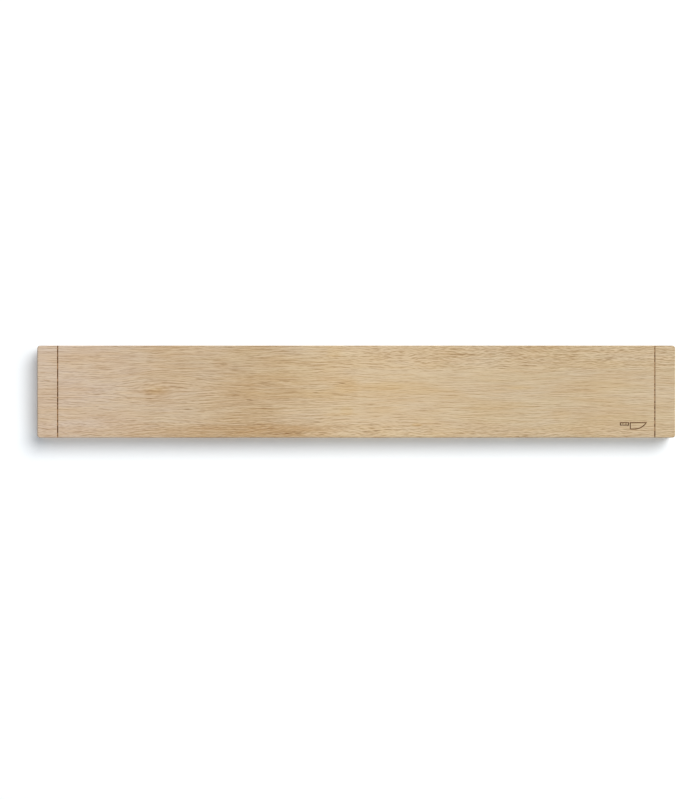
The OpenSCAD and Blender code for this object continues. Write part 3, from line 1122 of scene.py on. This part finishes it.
def build_plugs(plastic):
    """Two nylon plugs, slit from a little way in so that they can spread."""
    half_slit = Vector((SLIT_W / 2, 0, SLIT_REACH))
    plugs = []
    for side in (-1, 1):
        axis = Vector((side * PLATE_X, 0, 0))
        obj = make("plug", skin([round_loop(r, y, 48, axis.x) for r, y in plug_profile()], ring=True))
        low, high = axis - half_slit, axis + half_slit
        cut(obj, box_tool(low, high, SLIT_CORNER_R, SLIT_START, PLUG_END + OVER), None)
        plugs.append(unmake(obj))
    return shade_smooth(make("wall_plug_pair", joined(plugs), plastic))


def build_pad(name, node, rubber):
    """A stick-on pad: round, with a rolled rim and a shallow dish that grips the wall."""
    low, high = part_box(node)
    r = (high.x - low.x) / 2
    thick = high.y - low.y
    steps = 6
    roll = PAD_ROLL
    turns = [math.radians(90 * i / steps) for i in range(steps + 1)]
    edge = [(r - roll + roll * math.cos(turn), thick - roll + roll * math.sin(turn)) for turn in turns]
    back = [(r * 0.5, 0.0), (r - 0.1 * MM, 0.0), (r, 0.1 * MM)]
    dish = [(r * 0.62, thick - 0.08 * MM), (r * 0.3, thick - 0.16 * MM), (r * 0.08, thick - PAD_DISH)]
    profile = [(radius, low.y + y) for radius, y in back + edge + [(r * 0.72, thick)] + dish]
    pad = lathe(profile, 56, (low.x + high.x) / 2, (low.z + high.z) / 2)
    return shade_smooth(make(name, pad, rubber))


def build_block(name, node, edges, material):
    """A magnet or a strip: a block with rounded corners and eased edges."""
    low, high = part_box(node)
    corner_r, ease_r = edges
    block = eased_bar(low, high, corner_r, ease_r, WHOLE_SIDE, 4)
    return shade_smooth(make(name, block, material))


def add(obj, body, slot, *nodes):
    """Puts a finished piece on its body, in the place of its CAD nodes."""
    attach(obj, body)
    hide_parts(*nodes)


def build_magnets():
    """The ferrite blocks, the steel strip behind them and the foam behind that."""
    dark = ferrite()
    for i in range(1, MAGNET_COUNT + 1):
        number = f"{i:02d}"
        node = "magnet_" + number
        block = build_block("ferrite_block_" + number, node, MAGNET_EDGES, dark)
        add(block, "rack", "ferrite", node)
    keeper = build_block("keeper_bar", "keeper_strip", KEEPER_EDGES, plated_steel("keeper_steel"))
    add(keeper, "rack", "keeper_steel", "keeper_strip")
    strip = build_block("foam_pad", "foam_strip", FOAM_EDGES, foam())
    add(strip, "rack", "foam", "foam_strip")


def build_rack():
    """Every piece of the rack, and the screws and plugs in the wall."""
    line_burn = burnt_wood("burnt_line", LINE_PALE, LINE_DEEP, LINE_FADING)
    mark_burn = burnt_wood("burnt_mark", MARK_PALE, MARK_DEEP)
    board = build_board(board_wood(), line_burn, mark_burn, cut_wood())
    add(board, "rack", "board_wood", "board")
    add(build_cover(cover_wood()), "rack", "cover_wood", "back_cover")
    yellow = build_small_screws("cover_screw_set", cover_screw_places(), plated_steel("yellow_zinc"))
    add(yellow, "rack", "yellow_zinc", "cover_screws")
    steel = plated_steel("screw_steel")
    plain = build_small_screws("hanger_screw_set", plate_screw_places(), steel)
    add(plain, "rack", "screw_steel", "hanger_screws")
    zinc = plated_steel("zinc_plate")
    for side in ("left", "right"):
        node = "hanger_" + side
        add(build_plate("keyhole_plate_" + side, node, zinc), "rack", "zinc_plate", node)
    build_magnets()
    rubber = pad_rubber()
    for place in ("top_left", "top_right", "bottom_left", "bottom_right"):
        node = "bumper_" + place
        add(build_pad("pad_" + place, node, rubber), "rack", "pad_rubber", node)
    add(build_wall_screws(steel), "wall_fixings", "screw_steel", "wall_screws")
    add(build_plugs(nylon()), "wall_fixings", "nylon", "wall_plugs")


# ---------- Stage, light and camera ----------

WALL_Y = 0.5 * MM
WALL_REACH = 6.0
FLOOR_Z = -0.9
FLOOR_R = 3.2
WALL_PAINT = ((1.10, 1.14, 1.185), (1.11, 1.15, 1.195))
FLOOR_PAINT = ((0.90, 0.90, 0.89), (0.93, 0.93, 0.92))

# Lamps: place, size, power, colour
KEY = ((1.55, -4.0, 1.68), 3.2, 172, (1.0, 0.98, 0.94))
REAR = ((-1.6, 3.0, 1.9), 2.0, 110, (1.0, 0.99, 0.98))
SIDE = ((3.2, 1.3, 0.9), 2.0, 70, (1.0, 0.99, 0.98))

# The surround: colour and strength as a light, and as the camera sees it
SURROUND_LIT = ((0.885, 0.96, 1.055), 0.262)
SURROUND_SEEN = ((0.97, 0.97, 0.97), 1.0)

FRAME_HEIGHT = 0.564  # what the picture's height spans at the bar's front
LENS = 100.0
SENSOR = 36.0  # along the picture's height, its longer side
LOOK_LEFT = 4.4 * MM  # how far left of the bar's middle the camera is
LOOK_DOWN = 5.9 * MM  # and how far below it


def plane(name, corners, material):
    """A flat face of the stage."""
    bm = bmesh.new()
    bm.faces.new([bm.verts.new(corner) for corner in corners])
    obj = make(name, bm, material)
    obj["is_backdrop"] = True
    return obj


def wall_paint():
    """Over-exposed paint, as in a studio, that can't be seen from behind.

    It is faintly blue, which evens out the warm light that the bar throws on it.
    """
    graph = Graph("wall_paint")
    side = graph.tree.nodes.new("ShaderNodeNewGeometry")
    colour = graph.mix(graph.noise((3, 1, 3)), *WALL_PAINT)
    return graph.finish_paint(colour, side.outputs["Backfacing"])


def floor_paint():
    """A pale floor that fades into the surround with distance."""
    graph = Graph("floor_paint")
    colour = graph.mix(graph.noise((40, 40, 1)), *FLOOR_PAINT)
    away = (graph.x ** 2.0 + graph.y ** 2.0) ** 0.5 * MM
    return graph.finish_paint(colour, graph.step(away, FLOOR_R * 0.3, FLOOR_R))


def build_stage():
    """A wall and a floor. The wall shows light and shadow, and throws none on anything."""
    far = WALL_REACH
    low = FLOOR_Z
    corners = [(-far, WALL_Y, low), (far, WALL_Y, low), (far, WALL_Y, far), (-far, WALL_Y, far)]
    wall = plane("wall", corners, wall_paint())
    wall.visible_shadow = False
    wall.visible_diffuse = False
    wall.visible_glossy = False
    wall.visible_transmission = False
    rim = [(point.x, point.z, FLOOR_Z) for point in round_loop(FLOOR_R, 0.0, 64)]
    plane("floor", rim, floor_paint())


def aim(obj, place, target):
    """Puts a lamp or a camera at a place, looking at a target."""
    obj.location = place
    obj.rotation_mode = "QUATERNION"
    obj.rotation_quaternion = (Vector(target) - Vector(place)).to_track_quat("-Z", "Y")
    bpy.context.scene.collection.objects.link(obj)


def area_light(name, place, size, power, colour):
    """A round soft lamp that looks at the bar."""
    lamp = bpy.data.lights.new(name, "AREA")
    lamp.shape = "DISK"
    lamp.size = size
    lamp.energy = power
    lamp.color = colour
    light = bpy.data.objects.new(name, lamp)
    aim(light, place, (0, 0, MID_Z))
    return light


def backdrop(tree, colour, strength):
    """A background node of the world."""
    made = tree.nodes.new("ShaderNodeBackground")
    made.inputs["Color"].default_value = (*colour, 1)
    made.inputs["Strength"].default_value = strength
    return made


def build_surround():
    """A pale world, which the camera sees brighter than it lights the scene."""
    world = bpy.data.worlds.new("surround")
    bpy.context.scene.world = world
    world.use_nodes = True
    tree = world.node_tree
    tree.nodes.clear()
    lit = backdrop(tree, *SURROUND_LIT)
    seen = backdrop(tree, *SURROUND_SEEN)
    rays = tree.nodes.new("ShaderNodeLightPath")
    both = tree.nodes.new("ShaderNodeMixShader")
    out = tree.nodes.new("ShaderNodeOutputWorld")
    tree.links.new(rays.outputs["Is Camera Ray"], both.inputs[0])
    tree.links.new(lit.outputs[0], both.inputs[1])
    tree.links.new(seen.outputs[0], both.inputs[2])
    tree.links.new(both.outputs[0], out.inputs["Surface"])


def build_lights():
    """A large soft key from the upper right and a pale surround.

    Two soft lights for the rack's back and ends leave the wall alone.
    """
    area_light("key", *KEY)
    lit_pieces = bpy.data.collections.new("lit_pieces")
    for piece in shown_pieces():
        lit_pieces.objects.link(piece)
    for light in (area_light("rear", *REAR), area_light("side", *SIDE)):
        light.light_linking.receiver_collection = lit_pieces
    build_surround()


def build_camera():
    """The view straight at the front."""
    lens = bpy.data.cameras.new("camera")
    lens.lens = LENS
    lens.sensor_width = SENSOR
    lens.clip_start = 0.05
    lens.clip_end = 50
    camera = bpy.data.objects.new("camera", lens)
    distance = FRAME_HEIGHT * LENS / SENSOR
    place = Vector((-LOOK_LEFT, FRONT_Y - distance, MID_Z - LOOK_DOWN))
    aim(camera, place, place + Vector((0, 1, 0)))
    bpy.context.scene.camera = camera
    bpy.context.scene.view_settings.view_transform = "Standard"


build_camera()
build_stage()
build_rack()
build_lights()
